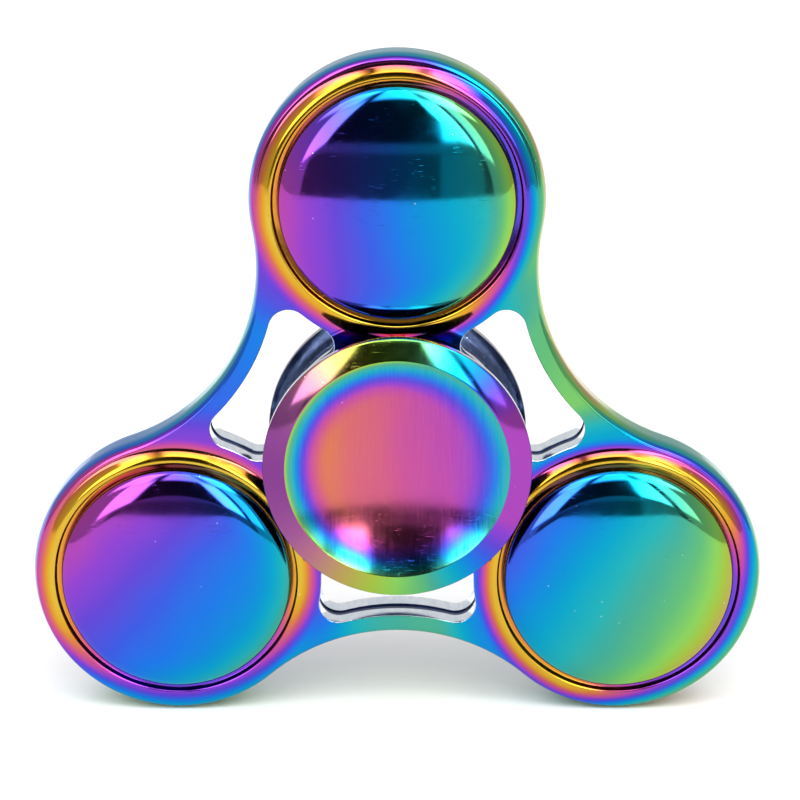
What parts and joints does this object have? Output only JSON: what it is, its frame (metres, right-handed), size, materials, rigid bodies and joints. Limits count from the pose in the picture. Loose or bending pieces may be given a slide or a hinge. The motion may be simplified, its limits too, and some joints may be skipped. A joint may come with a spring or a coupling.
{
  "type": "fidget spinner",
  "caption": "Three-lobed metal fidget spinner with domed lobe caps, three windows and dished finger pads on a central ball bearing.",
  "frame": {"origin": "centre of the hub bearing, at mid thickness on the spin axis", "axes": "+Y along the spin axis towards the rear, the front face looks along -Y, +Z through the top lobe, +X to the right seen from the front"},
  "size_m": [0.075, 0.0154, 0.0689],
  "materials": {
    "rainbow_body": "polished zinc casting under a thin rainbow film that runs from gold round the caps through magenta and blue to green at the edges",
    "rainbow_caps": "mirror-polished dome under a rainbow film, purple on one side through blue to green on the other",
    "rainbow_pads": "lathe-polished dish under a rainbow film, pink in the middle to blue and green at its edge",
    "bearing_steel": "ground bearing steel",
    "shield_steel": "pressed steel sheet",
    "cage_steel": "pressed steel, lightly oiled",
    "ball_steel": "polished hardened steel",
    "weight_steel": "turned steel slug",
    "stud_steel": "zinc-plated steel"
  },
  "bodies": {
    "spinner": {"spinner_body": "rainbow_body", "top_counterweight": "weight_steel", "top_front_cap": "rainbow_caps", "top_rear_cap": "rainbow_caps", "left_counterweight": "weight_steel", "left_front_cap": "rainbow_caps", "left_rear_cap": "rainbow_caps", "right_counterweight": "weight_steel", "right_front_cap": "rainbow_caps", "right_rear_cap": "rainbow_caps", "bearing_outer_ring": "bearing_steel", "bearing_front_shield": "shield_steel", "bearing_rear_shield": "shield_steel"},
    "finger_pads": {"front_finger_pad": "rainbow_pads", "rear_finger_pad": "rainbow_pads", "pad_stud": "stud_steel", "bearing_inner_ring": "bearing_steel"},
    "ball_cage": {"ball_cage": "cage_steel"},
    "ball_1": {"ball_1": "ball_steel"},
    "ball_2": {"ball_2": "ball_steel"},
    "ball_3": {"ball_3": "ball_steel"},
    "ball_4": {"ball_4": "ball_steel"},
    "ball_5": {"ball_5": "ball_steel"},
    "ball_6": {"ball_6": "ball_steel"},
    "ball_7": {"ball_7": "ball_steel"}
  },
  "joints": [
    {"name": "finger_pads_spin", "type": "hinge", "parent": "spinner", "child": "finger_pads", "pos_m": [0, 0, 0], "axis": [0, 1, 0], "continuous": true},
    {"name": "ball_cage_orbit", "type": "hinge", "parent": "spinner", "child": "ball_cage", "pos_m": [0, 0, 0], "axis": [0, 1, 0], "continuous": true},
    {"name": "ball_1_roll", "type": "hinge", "parent": "ball_cage", "child": "ball_1", "pos_m": [0, 0, 0.0075], "axis": [0, 1, 0], "continuous": true},
    {"name": "ball_2_roll", "type": "hinge", "parent": "ball_cage", "child": "ball_2", "pos_m": [-0.00586, 0, 0.00468], "axis": [0, 1, 0], "continuous": true},
    {"name": "ball_3_roll", "type": "hinge", "parent": "ball_cage", "child": "ball_3", "pos_m": [-0.00731, 0, -0.00167], "axis": [0, 1, 0], "continuous": true},
    {"name": "ball_4_roll", "type": "hinge", "parent": "ball_cage", "child": "ball_4", "pos_m": [-0.00325, 0, -0.00676], "axis": [0, 1, 0], "continuous": true},
    {"name": "ball_5_roll", "type": "hinge", "parent": "ball_cage", "child": "ball_5", "pos_m": [0.00325, 0, -0.00676], "axis": [0, 1, 0], "continuous": true},
    {"name": "ball_6_roll", "type": "hinge", "parent": "ball_cage", "child": "ball_6", "pos_m": [0.00731, 0, -0.00167], "axis": [0, 1, 0], "continuous": true},
    {"name": "ball_7_roll", "type": "hinge", "parent": "ball_cage", "child": "ball_7", "pos_m": [0.00586, 0, 0.00468], "axis": [0, 1, 0], "continuous": true}
  ],
  "couplings": [
    {"joint": "ball_cage_orbit", "follows": "finger_pads_spin", "ratio": 0.3677},
    {"joint": "ball_1_roll", "follows": "finger_pads_spin", "ratio": -1.7573},
    {"joint": "ball_2_roll", "follows": "finger_pads_spin", "ratio": -1.7573},
    {"joint": "ball_3_roll", "follows": "finger_pads_spin", "ratio": -1.7573},
    {"joint": "ball_4_roll", "follows": "finger_pads_spin", "ratio": -1.7573},
    {"joint": "ball_5_roll", "follows": "finger_pads_spin", "ratio": -1.7573},
    {"joint": "ball_6_roll", "follows": "finger_pads_spin", "ratio": -1.7573},
    {"joint": "ball_7_roll", "follows": "finger_pads_spin", "ratio": -1.7573}
  ]
}
